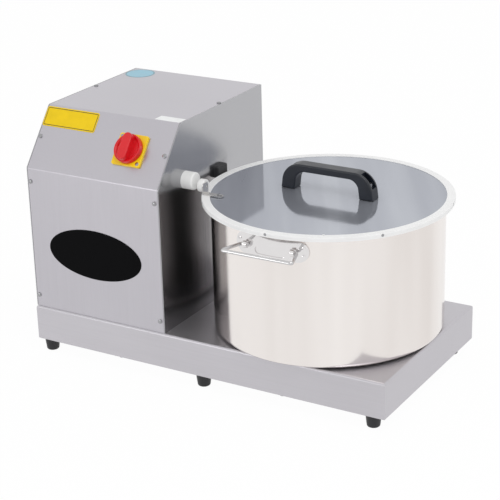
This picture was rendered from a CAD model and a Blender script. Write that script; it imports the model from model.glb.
from math import cos, hypot, pi, radians, sin, tan

import bmesh
import bpy
from mathutils import Matrix, Vector


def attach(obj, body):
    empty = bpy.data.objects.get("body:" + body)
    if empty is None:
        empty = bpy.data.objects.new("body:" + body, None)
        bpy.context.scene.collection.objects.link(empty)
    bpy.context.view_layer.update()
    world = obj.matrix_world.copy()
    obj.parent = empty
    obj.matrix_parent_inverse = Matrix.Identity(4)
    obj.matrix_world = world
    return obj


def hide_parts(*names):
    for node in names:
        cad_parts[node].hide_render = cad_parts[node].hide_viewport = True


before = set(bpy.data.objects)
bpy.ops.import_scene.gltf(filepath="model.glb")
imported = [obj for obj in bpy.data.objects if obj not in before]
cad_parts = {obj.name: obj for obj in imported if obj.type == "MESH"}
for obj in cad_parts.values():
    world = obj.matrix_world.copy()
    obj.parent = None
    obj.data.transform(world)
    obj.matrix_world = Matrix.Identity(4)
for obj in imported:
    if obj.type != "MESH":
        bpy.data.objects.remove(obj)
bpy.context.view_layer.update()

scene = bpy.context.scene
mm = 0.001

# Camera: the photograph looks down on the machine from its front right, from
# about two and a half metres away, with the frame tipped a little to the left.
camera_place = Vector((1.3246, -2.2236, 1.2141))
camera_turn, camera_height, camera_tip = radians(31.02), radians(21.4), radians(-1.55)
back = Vector((sin(camera_turn) * cos(camera_height),
               -cos(camera_turn) * cos(camera_height), sin(camera_height)))
level = Vector((cos(camera_turn), sin(camera_turn), 0))
upward = level.cross(-back)
across = level * cos(camera_tip) + upward * sin(camera_tip)
upright = upward * cos(camera_tip) - level * sin(camera_tip)
camera_data = bpy.data.cameras.new("photo_camera")
camera_data.lens, camera_data.sensor_width = 113.06, 36
camera_data.clip_start, camera_data.clip_end = 0.1, 50
camera = bpy.data.objects.new("photo_camera", camera_data)
scene.collection.objects.link(camera)
turn = Matrix((across, upright, back)).transposed().to_4x4()
camera.matrix_world = Matrix.Translation(camera_place) @ turn
scene.camera = camera
scene.view_settings.view_transform = "Standard"

# Floor and light: a pale studio floor under an even white surround, with a large
# soft lamp above the front right and a small one low at the front left.
floor_r, floor_share, sky_strength = 6, 0.97, 0.8
floor_bm = bmesh.new()
bmesh.ops.create_circle(floor_bm, cap_ends=True, segments=64, radius=floor_r)
floor_mesh = bpy.data.meshes.new("studio_floor")
floor_bm.to_mesh(floor_mesh)
floor_bm.free()
floor = bpy.data.objects.new("studio_floor", floor_mesh)
scene.collection.objects.link(floor)
floor_paint = bpy.data.materials.new("studio_floor_paint")
floor_paint.use_nodes = True
paint = floor_paint.node_tree
matt = paint.nodes["Principled BSDF"]
matt.inputs["Base Color"].default_value = (0.93, 0.93, 0.93, 1)
matt.inputs["Roughness"].default_value = 0.9
matt.inputs["Specular IOR Level"].default_value = 0
glow = paint.nodes.new("ShaderNodeEmission")
over = paint.nodes.new("ShaderNodeMixShader")
paint.links.new(matt.outputs[0], over.inputs[1])
paint.links.new(glow.outputs[0], over.inputs[2])
paint.links.new(over.outputs[0], paint.nodes["Material Output"].inputs["Surface"])
floor_mesh.materials.append(floor_paint)


def sees_white(tree, share, target):
    """Camera, glossy and transmission rays see this share of plain white."""
    ray = tree.nodes.new("ShaderNodeLightPath")
    value = ray.outputs["Is Camera Ray"]
    for kind in ("Is Glossy Ray", "Is Transmission Ray"):
        either = tree.nodes.new("ShaderNodeMath")
        either.operation = "MAXIMUM"
        tree.links.new(value, either.inputs[0])
        tree.links.new(ray.outputs[kind], either.inputs[1])
        value = either.outputs[0]
    part = tree.nodes.new("ShaderNodeMath")
    part.operation = "MULTIPLY"
    part.inputs[1].default_value = share
    tree.links.new(value, part.inputs[0])
    tree.links.new(part.outputs[0], target)


sees_white(paint, floor_share, over.inputs["Fac"])

world = bpy.data.worlds.new("studio_surround")
scene.world = world
world.use_nodes = True
sky = world.node_tree
lit, seen = sky.nodes["Background"], sky.nodes.new("ShaderNodeBackground")
for source, strength in ((lit, sky_strength), (seen, 1)):
    source.inputs["Color"].default_value = (1, 1, 1, 1)
    source.inputs["Strength"].default_value = strength
choice = sky.nodes.new("ShaderNodeMixShader")
sees_white(sky, 1, choice.inputs["Fac"])
sky.links.new(lit.outputs[0], choice.inputs[1])
sky.links.new(seen.outputs[0], choice.inputs[2])
sky.links.new(choice.outputs[0], sky.nodes["World Output"].inputs["Surface"])

lamps_aim = Vector((0, 0, 0.2))
for name, spot, size, watts in (
        ("lamp_high", (1.5, -1.2, 3.4), 1.6, 30),
        ("lamp_left", (-1.3, -2.6, 0.35), 0.6, 5)):
    lamp_data = bpy.data.lights.new(name, "AREA")
    lamp_data.size, lamp_data.energy = size, watts
    lamp = bpy.data.objects.new(name, lamp_data)
    scene.collection.objects.link(lamp)
    aim = (lamps_aim - Vector(spot)).to_track_quat("-Z", "Y")
    lamp.matrix_world = Matrix.Translation(spot) @ aim.to_matrix().to_4x4()


# Base tray: a folded tray of 2 mm satin stainless sheet, turned upside down and
# closed below by a cover plate. The grain of the sheet runs along the base.
tray_top = 91 * mm


def new_material(name):
    material = bpy.data.materials.new(name)
    material.use_nodes = True
    tree = material.node_tree
    return material, tree, tree.nodes["Principled BSDF"]


def pattern(tree, scale, detail=4, seed=0.0, roughness=0.5):
    """Noise over the piece's own coordinates, stretched by scale on each axis."""
    coords = tree.nodes.new("ShaderNodeTexCoord")
    mapping = tree.nodes.new("ShaderNodeMapping")
    mapping.inputs["Scale"].default_value = scale
    mapping.inputs["Location"].default_value = (seed, seed, seed)
    noise = tree.nodes.new("ShaderNodeTexNoise")
    noise.inputs["Scale"].default_value = 1
    noise.inputs["Detail"].default_value = detail
    noise.inputs["Roughness"].default_value = roughness
    tree.links.new(coords.outputs["Object"], mapping.inputs["Vector"])
    tree.links.new(mapping.outputs["Vector"], noise.inputs["Vector"])
    return noise.outputs["Fac"]


noise_low, noise_high = 0.3, 0.7


def between(tree, value, low, high):
    """A noise value brought to the range from low to high."""
    spread = tree.nodes.new("ShaderNodeMapRange")
    spread.inputs["From Min"].default_value = noise_low
    spread.inputs["From Max"].default_value = noise_high
    spread.inputs["To Min"].default_value = low
    spread.inputs["To Max"].default_value = high
    tree.links.new(value, spread.inputs["Value"])
    return spread.outputs["Result"]


def shade(tree, value, dark, light):
    """A colour from dark to light as a noise value goes from low to high."""
    ramp = tree.nodes.new("ShaderNodeValToRGB")
    for stop, at, colour in zip(ramp.color_ramp.elements, (noise_low, noise_high),
                                (dark, light)):
        stop.position, stop.color = at, (*colour, 1)
    tree.links.new(value, ramp.inputs["Fac"])
    return ramp.outputs["Color"]


def dents(tree, shader, value, strength, height):
    bump = tree.nodes.new("ShaderNodeBump")
    bump.inputs["Strength"].default_value = strength
    bump.inputs["Distance"].default_value = height
    tree.links.new(value, bump.inputs["Height"])
    tree.links.new(bump.outputs["Normal"], shader.inputs["Normal"])


def tone(colour, by):
    return tuple(min(1, c * by) for c in colour)


def brushed_steel(name, colour, grain, rough, contrast=0.05, height=0.04 * mm,
                  metallic=1):
    """Satin or brushed sheet: fine streaks, stretched as grain says, over soft clouds."""
    streak_share, rough_play, grain_strength = 0.65, 0.05, 0.25
    material, tree, shader = new_material(name)
    streaks = pattern(tree, grain, detail=6, roughness=0.7)
    clouds = pattern(tree, (5, 5, 5), detail=2, seed=3.1)
    both = tree.nodes.new("ShaderNodeMath")
    both.operation = "MULTIPLY_ADD"
    both.inputs[1].default_value = 1 - streak_share
    tree.links.new(clouds, both.inputs[0])
    part = tree.nodes.new("ShaderNodeMath")
    part.operation = "MULTIPLY"
    part.inputs[1].default_value = streak_share
    tree.links.new(streaks, part.inputs[0])
    tree.links.new(part.outputs[0], both.inputs[2])
    colours = shade(tree, both.outputs[0], tone(colour, 1 - contrast), tone(colour, 1 + contrast))
    tree.links.new(colours, shader.inputs["Base Color"])
    tree.links.new(between(tree, streaks, rough - rough_play, rough + rough_play),
                   shader.inputs["Roughness"])
    shader.inputs["Metallic"].default_value = metallic
    dents(tree, shader, streaks, grain_strength, height)
    return material


def dress(material, *nodes):
    """Gives CAD nodes their finish."""
    for node in nodes:
        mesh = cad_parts[node].data
        mesh.materials.clear()
        mesh.materials.append(material)


base_steel = brushed_steel("base_satin_steel", (0.53, 0.515, 0.545), (8, 500, 500), 0.36,
                           height=0.012 * mm, metallic=0.82)
dress(base_steel, "base_tray", "bottom_cover")


# Feet: turned black rubber feet on studs, three along each side of the base.
# They taper to the floor and have a round at each end.
foot_h, foot_top_r, foot_floor_r = 25.5 * mm, 14 * mm, 11 * mm
foot_floor_round, foot_top_round = 3 * mm, 0.6 * mm
foot_xs, foot_ys = (-345.5 * mm, -17.75 * mm, 310 * mm), (-158 * mm, 158 * mm)
same_place, on_circle = 1e-6, 1e-5


def spun(bm, profile, steps, closed=True):
    """Turns a profile of (radius, height) points round Z."""
    points = [bm.verts.new((r, 0, z)) for r, z in profile]
    pairs = list(zip(points, points[1:])) + ([(points[-1], points[0])] if closed else [])
    edges = [bm.edges.new(pair) for pair in pairs]
    bmesh.ops.spin(bm, geom=points + edges, cent=(0, 0, 0), axis=(0, 0, 1),
                   dvec=(0, 0, 0), angle=2 * pi, steps=steps, use_merge=True)
    bmesh.ops.remove_doubles(bm, verts=bm.verts, dist=same_place)


def hoops(bm, *places):
    """The edges that lie on the circles of these radii and heights."""
    return [e for e in bm.edges for r, z in places
            if all(abs(hypot(v.co.x, v.co.y) - r) < on_circle and abs(v.co.z - z) < on_circle
                   for v in e.verts)]


def soften(bm, edges, offset, segments=3):
    bmesh.ops.bevel(bm, geom=edges, offset=offset, segments=segments, profile=0.5,
                    affect="EDGES", material=-1, clamp_overlap=True)


def place(bm, matrix):
    bmesh.ops.transform(bm, matrix=matrix, verts=bm.verts)


def points_of(geometry):
    return [v for v in geometry if isinstance(v, bmesh.types.BMVert)]


def add_piece(name, bm, materials, body, nodes=()):
    """Makes the shape a piece that rides on a body and stands for CAD nodes."""
    sharp_from = radians(38)
    bmesh.ops.remove_doubles(bm, verts=bm.verts, dist=same_place)
    bmesh.ops.recalc_face_normals(bm, faces=bm.faces)
    for face in bm.faces:
        face.smooth = True
    for edge in bm.edges:
        edge.smooth = edge.calc_face_angle(0) < sharp_from
    mesh = bpy.data.meshes.new(name)
    bm.to_mesh(mesh)
    bm.free()
    for material in materials:
        mesh.materials.append(material)
    piece = bpy.data.objects.new(name, mesh)
    scene.collection.objects.link(piece)
    even = piece.modifiers.new("even_shading", "WEIGHTED_NORMAL")
    even.keep_sharp = True
    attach(piece, body)
    if nodes:
        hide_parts(*nodes)


def moulded(name, colour, rough, contrast=0.06, size=900, height=0.05 * mm):
    """Moulded plastic or rubber: a fine skin over faint mottling."""
    cloud_size, smoother, rougher, skin_strength = 40, 0.04, 0.06, 0.3
    material, tree, shader = new_material(name)
    mottle = pattern(tree, (cloud_size, cloud_size, cloud_size), detail=3, seed=1.7)
    skin = pattern(tree, (size, size, size), detail=2, seed=0.4)
    tree.links.new(shade(tree, mottle, tone(colour, 1 - contrast), tone(colour, 1 + contrast)),
                   shader.inputs["Base Color"])
    tree.links.new(between(tree, mottle, rough - smoother, rough + rougher),
                   shader.inputs["Roughness"])
    dents(tree, shader, skin, skin_strength, height)
    return material


black_rubber = moulded("black_rubber", (0.008, 0.008, 0.010), 0.5, 0.25)
feet = bmesh.new()
spun(feet, [(0, 0), (foot_floor_r, 0), (foot_top_r, foot_h), (0, foot_h)], 48, closed=False)
soften(feet, hoops(feet, (foot_floor_r, 0)), foot_floor_round, 4)
soften(feet, hoops(feet, (foot_top_r, foot_h)), foot_top_round)
one_foot = feet.verts[:] + feet.edges[:] + feet.faces[:]
for x in foot_xs:
    for y in foot_ys:
        copy = bmesh.ops.duplicate(feet, geom=one_foot)["geom"]
        bmesh.ops.translate(feet, vec=(x, y, 0), verts=points_of(copy))
bmesh.ops.delete(feet, geom=points_of(one_foot), context="VERTS")
add_piece("turned_feet", feet, [black_rubber], "machine", ["rubber_feet"])

# Screws, studs and nuts: darker zinc-plated or stainless steel, which hold the
# sheets, the motor, the switch and the lid's parts together.
fastener_steel = brushed_steel("fastener_steel", (0.34, 0.34, 0.35), (300, 300, 300), 0.26)
dress(fastener_steel, "foot_studs", "bottom_screws", "housing_screws", "panel_bolts",
      "switch_screws", "switch_shaft", "sensor_nut", "motor_bolts", "seat_bolts",
      "pulley_nut", "lid_screws")

# Motor tower: the front, slope and top are one folded sheet, with a plate on
# each side and a slotted plate behind, all of satin stainless sheet.
tower_right, tower_front = -83 * mm, -175.5 * mm
tower_top, slope_start = tray_top + 358 * mm, tray_top + 262 * mm
slope_angle, slope_length = radians(51.854), 122.07 * mm
upright_grain = (500, 500, 10)
cover_steel = brushed_steel("cover_satin_steel", (0.505, 0.49, 0.525), upright_grain, 0.34, 0.04)
side_steel = brushed_steel("side_satin_steel", (0.43, 0.43, 0.445), upright_grain, 0.2, 0.03)
dress(cover_steel, "housing_cover", "back_panel")
dress(side_steel, "side_panel_left", "side_panel_right")


# Oval plate on the front: a thin plate with a dull black face, pressed from sheet
# and glued to the front of the tower. It is bare.
badge_half_w, badge_half_h, badge_t, badge_round = 97.5 * mm, 45.5 * mm, 1 * mm, 0.4 * mm
badge_x, badge_z = -223 * mm, tray_top + 120 * mm


def on_front(x, z):
    return Matrix.Translation((x, tower_front, z)) @ Matrix.Rotation(pi / 2, 4, "X")


def film(name, colour, rough, gloss=None):
    """Printed or lacquered film: nearly even, with a faint ripple."""
    ripple_size, contrast, smoother, rougher, ripple_strength = 60, 0.05, 0.03, 0.05, 0.08
    material, tree, shader = new_material(name)
    ripple = pattern(tree, (ripple_size, ripple_size, ripple_size), detail=3, seed=2.2)
    tree.links.new(shade(tree, ripple, tone(colour, 1 - contrast), tone(colour, 1 + contrast)),
                   shader.inputs["Base Color"])
    tree.links.new(between(tree, ripple, rough - smoother, rough + rougher),
                   shader.inputs["Roughness"])
    if gloss is not None:
        shader.inputs["Specular IOR Level"].default_value = gloss
    dents(tree, shader, ripple, ripple_strength, 0.2 * mm)
    return material


def raised(bm, height):
    """Gives the flat face on zero a thickness and returns what was raised."""
    top = bmesh.ops.extrude_face_region(bm, geom=bm.faces[:])["geom"]
    bmesh.ops.translate(bm, vec=(0, 0, height), verts=points_of(top))
    return top


badge_black = film("badge_black", (0.002, 0.002, 0.0025), 0.45, gloss=0.04)
badge = bmesh.new()
bmesh.ops.create_circle(badge, cap_ends=True, segments=96, radius=1)
place(badge, Matrix.Diagonal((badge_half_w, badge_half_h, 1, 1)))
raised(badge, badge_t)
rim = [e for e in badge.edges if all(v.co.z > badge_t / 2 for v in e.verts)]
soften(badge, rim, badge_round, 2)
place(badge, on_front(badge_x, badge_z))
add_piece("oval_plate", badge, [badge_black], "machine", ["oval_badge"])

# Label on the slope: a long yellow film with round corners and a thin dark
# border, glued on below the top edge. It is bare.
label_w, label_h, label_t, label_corner = 112 * mm, 37 * mm, 0.5 * mm, 4 * mm
label_x, label_up = -302.5 * mm, slope_length - 22 * mm
label_margin, label_line = 2 * mm, 1.2 * mm
yellow_film = film("yellow_film", (0.82, 0.57, 0.008), 0.4, gloss=0.2)
film_border = film("film_border", (0.02, 0.015, 0.008), 0.5)


def on_slope(x, up):
    return (Matrix.Translation((x, tower_front, slope_start))
            @ Matrix.Rotation(slope_angle, 4, "X") @ Matrix.Translation((0, up, 0)))


def rounded_plate(w, h, t, corner, edge=0, segments=4):
    """A flat plate on zero, w by h, with round corners and a small round on top."""
    bm = bmesh.new()
    bmesh.ops.create_cube(bm, size=1)
    place(bm, Matrix.Translation((0, 0, t / 2)) @ Matrix.Diagonal((w, h, t, 1)))
    soften(bm, [e for e in bm.edges if abs(e.verts[0].co.z - e.verts[1].co.z) > t / 2],
           corner, segments)
    if edge:
        soften(bm, [e for e in bm.edges if all(v.co.z > t - same_place for v in e.verts)], edge)
    return bm


def inner_ring(bm, faces, width):
    """Insets faces by width and returns the ring that is left round them."""
    return bmesh.ops.inset_region(bm, faces=faces, thickness=width,
                                  use_even_offset=True)["faces"]


label = rounded_plate(label_w, label_h, label_t, label_corner)
crown = [f for f in label.faces if f.normal.z > 0.9]
inner_ring(label, crown, label_margin)
for face in inner_ring(label, crown, label_line):
    face.material_index = 1
place(label, on_slope(label_x, label_up))
add_piece("slope_label", label, [yellow_film, film_border], "machine",
          ["yellow_label"])

# Stickers on top of the tower: a round blue-green one at the back left and a
# small white one at the front right, both of thin film, glued on and bare.
sticker_t, dot_r, dot_line = 0.2 * mm, 28 * mm, 3 * mm
dot_place = Matrix.Translation((-329 * mm, 142 * mm, tower_top))
slip_w, slip_h, slip_corner = 50 * mm, 22 * mm, 1 * mm
slip_place = Matrix.Translation((-112 * mm, -86 * mm, tower_top))
teal_film = film("teal_film", (0.21, 0.47, 0.60), 0.3)
deep_teal_film = film("deep_teal_film", (0.14, 0.29, 0.35), 0.3)
pale_film = film("pale_film", (0.82, 0.83, 0.83), 0.4)
dot = bmesh.new()
bmesh.ops.create_circle(dot, cap_ends=True, segments=64, radius=dot_r)
crown = [f for f in raised(dot, sticker_t) if isinstance(f, bmesh.types.BMFace)]
for face in inner_ring(dot, crown, dot_line):
    face.material_index = 1
place(dot, dot_place)
add_piece("round_sticker", dot, [teal_film, deep_teal_film], "machine")
slip = rounded_plate(slip_w, slip_h, sticker_t, slip_corner)
place(slip, slip_place)
add_piece("small_sticker", slip, [pale_film], "machine")

# Rotary switch: a yellow moulded plate screwed to the slope, and a red knob
# with a dished face and a wide grip across it, moulded in one.
switch_side, switch_t, switch_corner, switch_edge = 58 * mm, 4.5 * mm, 3.5 * mm, 1.6 * mm
shaft_r, shaft_hole_r, shaft_hole_h = 4 * mm, 4.1 * mm, 20 * mm
knob_low, knob_high, knob_r = 5.1 * mm, 14.1 * mm, 26 * mm
knob_rim_w, knob_dish, knob_round = 3.5 * mm, 3 * mm, 1 * mm
bar_w, bar_l, bar_h, bar_corner, bar_round = 18 * mm, 49 * mm, 14 * mm, 8.9 * mm, 2.2 * mm
yellow_plastic = moulded("yellow_plastic", (0.88, 0.60, 0.003), 0.32, 0.04)
red_plastic = moulded("red_plastic", (0.66, 0.006, 0.012), 0.3, 0.05)
switch_place = on_slope(-161 * mm, slope_length / 2)


def hollow(bm, cutter):
    """Takes the cutter's shape out of bm."""
    pair = []
    for shape in (bm, cutter):
        mesh = bpy.data.meshes.new("part")
        shape.to_mesh(mesh)
        shape.clear()
        pair.append(bpy.data.objects.new("part", mesh))
        scene.collection.objects.link(pair[-1])
    cut = pair[0].modifiers.new("cut", "BOOLEAN")
    cut.object, cut.operation, cut.solver = pair[1], "DIFFERENCE", "EXACT"
    bpy.context.view_layer.update()
    left = pair[0].evaluated_get(bpy.context.evaluated_depsgraph_get()).to_mesh()
    bm.from_mesh(left)
    for part in pair:
        mesh = part.data
        bpy.data.objects.remove(part)
        bpy.data.meshes.remove(mesh)
    cutter.free()


switch_plate = rounded_plate(switch_side, switch_side, switch_t, switch_corner, switch_edge)
shaft_hole = bmesh.new()
bmesh.ops.create_cone(shaft_hole, cap_ends=True, segments=48, radius1=shaft_hole_r,
                      radius2=shaft_hole_r, depth=shaft_hole_h)
hollow(switch_plate, shaft_hole)
place(switch_plate, switch_place)
add_piece("switch_frame", switch_plate, [yellow_plastic], "machine",
          ["switch_plate"])
knob = bmesh.new()
spun(knob, [(shaft_r, knob_low), (knob_r, knob_low), (knob_r, knob_high),
            (knob_r - knob_rim_w, knob_high),
            (knob_r - knob_rim_w - knob_dish, knob_high - knob_dish),
            (shaft_r, knob_high - knob_dish)], 96)
soften(knob, hoops(knob, (knob_r, knob_high), (knob_r - knob_rim_w, knob_high)), knob_round)
bar = rounded_plate(bar_w, bar_l, bar_h, bar_corner, bar_round, 8)
place(bar, Matrix.Translation((0, 0, knob_high - knob_dish)))
bar_mesh = bpy.data.meshes.new("bar")
bar.to_mesh(bar_mesh)
bar.free()
knob.from_mesh(bar_mesh)
bpy.data.meshes.remove(bar_mesh)
place(knob, switch_place)
add_piece("switch_knob_red", knob, [red_plastic], "knob", ["switch_knob"])

# Lid switch: a round white sensor screwed through the tower's side, and the
# round white magnet that faces it, on a steel strip bolted to the lid.
sensor_r, sensor_l, sensor_round = 15.5 * mm, 22 * mm, 3 * mm
magnet_r, magnet_l, magnet_round = 11.5 * mm, 12 * mm, 1.5 * mm
sensor_y, sensor_z, magnet_x, magnet_z = -92 * mm, 347 * mm, -53 * mm, 341.5 * mm
white_plastic = moulded("white_plastic", (0.83, 0.83, 0.82), 0.42, 0.03)


def beside_tower(x, y, z):
    return Matrix.Translation((x, y, z)) @ Matrix.Rotation(pi / 2, 4, "Y")


def turned(r, h):
    """A solid round body of radius r that stands on zero."""
    bm = bmesh.new()
    spun(bm, [(0, 0), (r, 0), (r, h), (0, h)], 64, closed=False)
    return bm


sensor = turned(sensor_r, sensor_l)
soften(sensor, hoops(sensor, (sensor_r, sensor_l)), sensor_round, 5)
place(sensor, beside_tower(tower_right, sensor_y, sensor_z))
add_piece("lid_sensor", sensor, [white_plastic], "machine", ["sensor_body"])
magnet = turned(magnet_r, magnet_l)
soften(magnet, hoops(magnet, (magnet_r, 0), (magnet_r, magnet_l)), magnet_round, 4)
place(magnet, beside_tower(magnet_x, sensor_y, magnet_z))
add_piece("lid_magnet", magnet, [white_plastic], "lid", ["magnet_holder"])
bracket_steel = brushed_steel("bracket_steel", (0.62, 0.61, 0.60), (300, 300, 300), 0.16)
dress(bracket_steel, "magnet_bracket")

# Buffer: a small black rubber block on the tower's side, level with the lid's
# ring, which keeps the bowl off the tower.
buffer_h, buffer_w, buffer_out = 22 * mm, 31 * mm, 10 * mm
buffer_corner, buffer_round = 4 * mm, 2.5 * mm
buffer_y, buffer_z = 16 * mm, 332 * mm
buffer = rounded_plate(buffer_h, buffer_w, buffer_out, buffer_corner, buffer_round)
place(buffer, beside_tower(tower_right, buffer_y, buffer_z))
add_piece("side_buffer", buffer, [black_rubber], "machine", ["rim_buffer"])

# Inside the tower and the base: the cast motor, its plate and terminal box, the
# contactor, the belt drive and the bearing housing. Little of it is seen.
cast_metal = moulded("cast_grey_paint", (0.20, 0.21, 0.22), 0.5, 0.1, size=400,
                     height=0.2 * mm)
dark_plastic = moulded("dark_plastic", (0.03, 0.032, 0.035), 0.45, 0.1)
drive_steel = brushed_steel("turned_steel", (0.50, 0.50, 0.51), (20, 20, 900), 0.25)
belt_rubber = moulded("belt_rubber", (0.01, 0.01, 0.01), 0.6, 0.2)
dress(cast_metal, "motor_housing", "motor_flange", "motor_fan_cover", "motor_plate",
      "motor_pulley", "spindle_pulley", "bearing_housing")
dress(dark_plastic, "switch_body", "cable_gland", "contactor", "terminal_box", "motor_fan")
dress(drive_steel, "motor_rotor", "spindle", "spindle_bearings")
dress(belt_rubber, "drive_belt", "shaft_seal")

# Bowl: a deep bowl of 1.5 mm stainless sheet with a welded rim, polished outside
# with soft upright bands. A tube in its middle clears the spindle.
bowl_x, bowl_z = 145 * mm, tray_top + 2.5 * mm
bowl_r, bowl_h, bowl_t, chimney_r = 200 * mm, 231 * mm, 1.5 * mm, 37 * mm
rim_r, rim_t, rim_round = 212 * mm, 2 * mm, 0.7 * mm
bowl_round = 9 * mm
at_bowl = Matrix.Translation((bowl_x, 0, 0))


def banded_steel(name, colour, haze, rough):
    """Polished steel with soft upright bands of haze and faint turning marks."""
    smoother, rougher, mark_strength = 0.03, 0.05, 0.25
    material, tree, shader = new_material(name)
    bands = pattern(tree, (10, 10, 0.9), detail=2, seed=0.35)
    marks = pattern(tree, (6, 6, 700), detail=6, roughness=0.7)
    tree.links.new(shade(tree, bands, colour, haze), shader.inputs["Base Color"])
    tree.links.new(between(tree, bands, rough - smoother, rough + rougher),
                   shader.inputs["Roughness"])
    shader.inputs["Metallic"].default_value = 1
    dents(tree, shader, marks, mark_strength, 0.02 * mm)
    return material


polished_steel = banded_steel("bowl_polished_steel", (0.72, 0.67, 0.64), (0.87, 0.83, 0.805), 0.13)
seat_steel = brushed_steel("seat_steel", (0.66, 0.65, 0.64), (20, 20, 900), 0.2)
bowl = bmesh.new()
spun(bowl, [(chimney_r, 0), (bowl_r, 0), (bowl_r, bowl_h - rim_t), (rim_r, bowl_h - rim_t),
            (rim_r, bowl_h), (bowl_r - bowl_t, bowl_h), (bowl_r - bowl_t, bowl_t),
            (chimney_r, bowl_t)], 256)
soften(bowl, hoops(bowl, (bowl_r, 0)), bowl_round, 8)
soften(bowl, hoops(bowl, (bowl_r - bowl_t, bowl_t)), bowl_round - bowl_t, 8)
soften(bowl, hoops(bowl, (rim_r, bowl_h), (rim_r, bowl_h - rim_t)), rim_round, 2)
place(bowl, Matrix.Translation((bowl_x, 0, bowl_z)))
add_piece("bowl_wall", bowl, [polished_steel], "bowl",
          ["bowl_shell", "bowl_rim"])
dress(polished_steel, "bowl_chimney")
dress(seat_steel, "bowl_seat")

# Bowl handles: a pressed plate with two eyelets is riveted to the front and the
# back of the wall, and a bent wire bail turns in each pair of eyelets.
wire_r, pivot_y, pivot_z = 3 * mm, 203.016 * mm, 299 * mm
end_half, pivot_half, bar_half, reach, bend = 38.5 * mm, 51 * mm, 64.5 * mm, 41 * mm, 5 * mm
even_grain = (200, 200, 200)
plate_steel = brushed_steel("plate_polished_steel", (0.74, 0.725, 0.725), even_grain, 0.08, 0.03)
bail_steel = brushed_steel("bail_steel", (0.57, 0.565, 0.57), even_grain, 0.1, 0.03)
dress(plate_steel, "handle_plate_front", "handle_plate_back", "handle_rivets")


def wire(name, points, corner, radius, steps=8):
    """A round wire through points, bent to a radius at each corner."""
    curve = bpy.data.curves.new(name, "CURVE")
    curve.dimensions = "3D"
    curve.bevel_depth, curve.bevel_resolution, curve.use_fill_caps = radius, 5, True
    path = [Vector(points[0])]
    for before, at, after in zip(points, points[1:], points[2:]):
        before, at, after = Vector(before), Vector(at), Vector(after)
        start = at + (before - at).normalized() * corner
        end = at + (after - at).normalized() * corner
        path += [start * (1 - t) ** 2 + at * 2 * t * (1 - t) + end * t ** 2
                 for t in (i / steps for i in range(steps + 1))]
    path.append(Vector(points[-1]))
    spline = curve.splines.new("POLY")
    spline.points.add(len(path) - 1)
    for point, co in zip(spline.points, path):
        point.co = (*co, 1)
    bent = bpy.data.objects.new(name, curve)
    scene.collection.objects.link(bent)
    bpy.context.view_layer.update()
    mesh = bpy.data.meshes.new_from_object(bent.evaluated_get(
        bpy.context.evaluated_depsgraph_get()))
    bpy.data.objects.remove(bent)
    bpy.data.curves.remove(curve)
    bm = bmesh.new()
    bm.from_mesh(mesh)
    bpy.data.meshes.remove(mesh)
    return bm


for side, name in ((-1, "front"), (1, "back")):
    eyes, bar_y = side * pivot_y, side * (pivot_y + reach)
    bail = wire("bail", [(-side * end_half, eyes, 0), (-side * pivot_half, eyes, 0),
                         (-side * bar_half, bar_y, 0), (side * bar_half, bar_y, 0),
                         (side * pivot_half, eyes, 0), (side * end_half, eyes, 0)], bend, wire_r)
    place(bail, Matrix.Translation((bowl_x, 0, pivot_z)))
    add_piece("bail_wire_" + name, bail, [bail_steel], "bail_" + name,
              ["bail_" + name])

# Knives: a hub drops over the tube in the bowl and onto the spindle's hexagon.
# Two sickle knives with a spacer between are held on it by a slotted ring nut.
knife_steel = brushed_steel("knife_steel", (0.70, 0.70, 0.70), (60, 60, 400), 0.15, 0.04)
dress(knife_steel, "knife_hub", "knife_lower", "knife_upper", "knife_spacer", "knife_nut")

# Lid: a mirror-polished steel disc held in a white plastic ring, which sits on
# the bowl's rim. Small pins hold the ring, and its ends meet at a little bump.
disc_low, disc_top, disc_r = 326.5 * mm, 328.5 * mm, 205 * mm
ring_low, ring_high, ring_r, ring_inner = 322.5 * mm, 329.5 * mm, 215 * mm, 200.6 * mm
rebate_r, rebate_top = rim_r + 0.5 * mm, 324.6 * mm
groove_r, groove_low = disc_r + 0.05 * mm, disc_low - 0.05 * mm
ring_round, ring_inner_round = 1.2 * mm, 0.5 * mm
joint_r, joint_top_r, joint_h, joint_at = 2.5 * mm, 2.2 * mm, 1.2 * mm, radians(-64.3)
grain_turn, grain_shift, band_size = radians(31), 0.02, (0.07, 1, 1)


def hazy_mirror(name, colour, haze):
    """Mirror-polished sheet: its grain and bands of haze run towards the front right."""
    clear_metallic, hazy_metallic = 0.72, 0.58
    clear_rough, hazy_rough, skin_strength = 0.05, 0.11, 0.05
    material, tree, shader = new_material(name)
    coords = tree.nodes.new("ShaderNodeTexCoord")
    along = tree.nodes.new("ShaderNodeMapping")
    along.vector_type = "TEXTURE"
    along.inputs["Rotation"].default_value = (0, 0, grain_turn)
    along.inputs["Location"].default_value = (grain_shift, 0, 0)
    along.inputs["Scale"].default_value = band_size
    bands = tree.nodes.new("ShaderNodeTexNoise")
    bands.inputs["Scale"].default_value = 1
    bands.inputs["Detail"].default_value = 2
    tree.links.new(coords.outputs["Object"], along.inputs["Vector"])
    tree.links.new(along.outputs["Vector"], bands.inputs["Vector"])
    cloud = bands.outputs["Fac"]
    tree.links.new(shade(tree, cloud, colour, haze), shader.inputs["Base Color"])
    tree.links.new(between(tree, cloud, clear_metallic, hazy_metallic),
                   shader.inputs["Metallic"])
    tree.links.new(between(tree, cloud, clear_rough, hazy_rough), shader.inputs["Roughness"])
    shader.inputs["Specular IOR Level"].default_value = 0
    skin = pattern(tree, (900, 900, 900), detail=2)
    dents(tree, shader, skin, skin_strength, 0.01 * mm)
    return material


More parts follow.
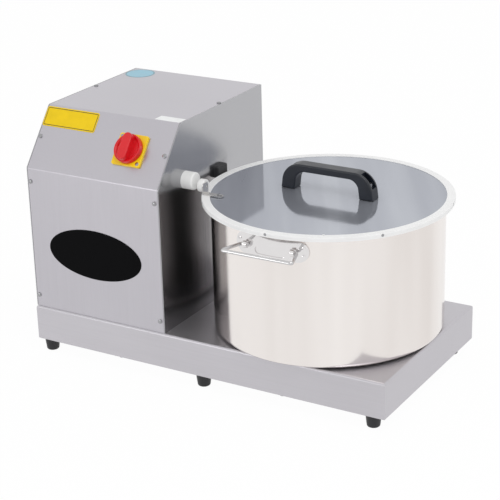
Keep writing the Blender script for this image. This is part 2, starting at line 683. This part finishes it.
lid_steel = hazy_mirror("lid_mirror_steel", (0.32, 0.336, 0.385), (0.48, 0.50, 0.545))
disc = bmesh.new()
spun(disc, [(0, disc_low), (disc_r, disc_low), (disc_r, disc_top), (0, disc_top)],
     256, closed=False)
place(disc, at_bowl)
add_piece("lid_plate", disc, [lid_steel], "lid", ["lid_disc"])
ring_plastic = moulded("ring_plastic", (0.84, 0.84, 0.84), 0.4, 0.03)
ring = bmesh.new()
spun(ring, [(ring_inner, rebate_top), (rebate_r, rebate_top), (rebate_r, ring_low),
            (ring_r, ring_low), (ring_r, ring_high), (ring_inner, ring_high),
            (ring_inner, disc_top), (groove_r, disc_top), (groove_r, groove_low),
            (ring_inner, groove_low)], 256)
soften(ring, hoops(ring, (ring_r, ring_high)), ring_round, 4)
soften(ring, hoops(ring, (ring_inner, ring_high)), ring_inner_round, 2)
joint = bmesh.ops.create_cone(ring, cap_ends=True, segments=24, radius1=joint_r,
                              radius2=joint_top_r, depth=joint_h)["verts"]
bmesh.ops.translate(ring, verts=joint,
                    vec=(ring_inner * cos(joint_at), ring_inner * sin(joint_at),
                         ring_high - joint_h / 2))
place(ring, at_bowl)
add_piece("lid_ring_white", ring, [ring_plastic], "lid", ["lid_ring"])

# Lid handle: a black moulded bridge on two spacers, with legs that lean inwards.
# A slot in each shoulder lets the bolts in, and all its edges are round.
grip_low, grip_back = disc_top + 0.6 * mm, 5 * mm
grip_half, grip_h, grip_d, leg_w = 87.25 * mm, 45.5 * mm, 25 * mm, 25.5 * mm
arch_t, shoulder_r, window_r, lean = 13 * mm, 30 * mm, 16 * mm, tan(radians(7))
slot_low, slot_in, slot_w, grip_round = 19.5 * mm, 63.45 * mm, 15 * mm, 2.6 * mm
window_h = grip_h - arch_t
top_half, foot_in = grip_half - lean * grip_h, grip_half - leg_w
window_half = foot_in - lean * window_h
black_plastic = moulded("black_plastic", (0.009, 0.012, 0.019), 0.34, 0.15, size=1200)


def round_corners(bm, corners, radius, segments):
    bmesh.ops.bevel(bm, geom=corners, offset=radius, segments=segments, profile=0.5,
                    affect="VERTICES", material=-1)


handle = bmesh.new()
side_view = [(-grip_half, 0), (-top_half, grip_h), (top_half, grip_h), (grip_half, 0),
             (foot_in, 0), (window_half, window_h), (-window_half, window_h), (-foot_in, 0)]
corners = [handle.verts.new((x, -grip_d / 2, z)) for x, z in side_view]
handle.faces.new(corners)
shoulders, window = corners[1:3], corners[5:7]
round_corners(handle, shoulders, shoulder_r, 14)
round_corners(handle, window, window_r, 10)
body = bmesh.ops.extrude_face_region(handle, geom=handle.faces[:])["geom"]
bmesh.ops.translate(handle, vec=(0, grip_d, 0), verts=points_of(body))
bmesh.ops.recalc_face_normals(handle, faces=handle.faces)
outline = [e for e in handle.edges
           if sum(abs(f.normal.y) > 0.9 for f in e.link_faces) == 1]
soften(handle, outline, grip_round, 4)
slots = bmesh.new()
for side in (-1, 1):
    slot = bmesh.ops.create_cube(slots, size=1)["verts"]
    bmesh.ops.scale(slots, vec=(leg_w + slot_w, slot_w, grip_h), verts=slot)
    bmesh.ops.translate(slots, verts=slot, vec=(side * (slot_in + (leg_w + slot_w) / 2), 0,
                                                slot_low + grip_h / 2))
hollow(handle, slots)
place(handle, Matrix.Translation((bowl_x, grip_back, grip_low)))
add_piece("bridge_handle", handle, [black_plastic], "lid", ["lid_handle"])
